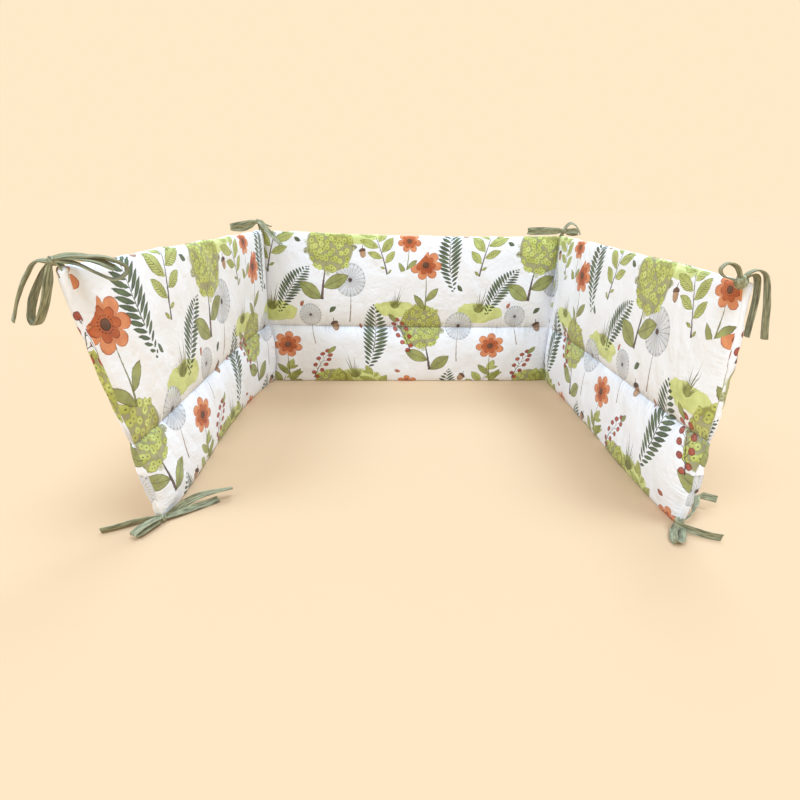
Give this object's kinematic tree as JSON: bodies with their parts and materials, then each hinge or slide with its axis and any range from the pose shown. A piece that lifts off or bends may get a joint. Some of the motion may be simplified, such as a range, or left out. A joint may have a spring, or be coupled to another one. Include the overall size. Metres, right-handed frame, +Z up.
{
  "type": "crib bumper",
  "caption": "Long padded quilted cotton strip, sewn in a low and a tall channel, standing in a U of three panels, with a ribbon bow at its corners.",
  "frame": {"origin": "middle of the whole part's box in X and Y, on the surface that the strip's lower edge stands on", "axes": "+Z up; the back panel runs along X and faces -Y, which is the open side of the U"},
  "size_m": [0.7958, 0.65, 0.3216],
  "materials": {
    "printed_cotton": "matte white cotton printed with leaves and flowers, padded and stitched",
    "sage_ribbon": "soft folded cotton ribbon, grey-green"
  },
  "bodies": {
    "root": {"quilted_strip": "printed_cotton", "tie_left_front_top": "sage_ribbon", "tie_left_back_top": "sage_ribbon", "tie_right_back_top": "sage_ribbon", "tie_right_front_top": "sage_ribbon", "tie_left_front_foot": "sage_ribbon", "tie_right_front_foot": "sage_ribbon"}
  },
  "joints": []
}
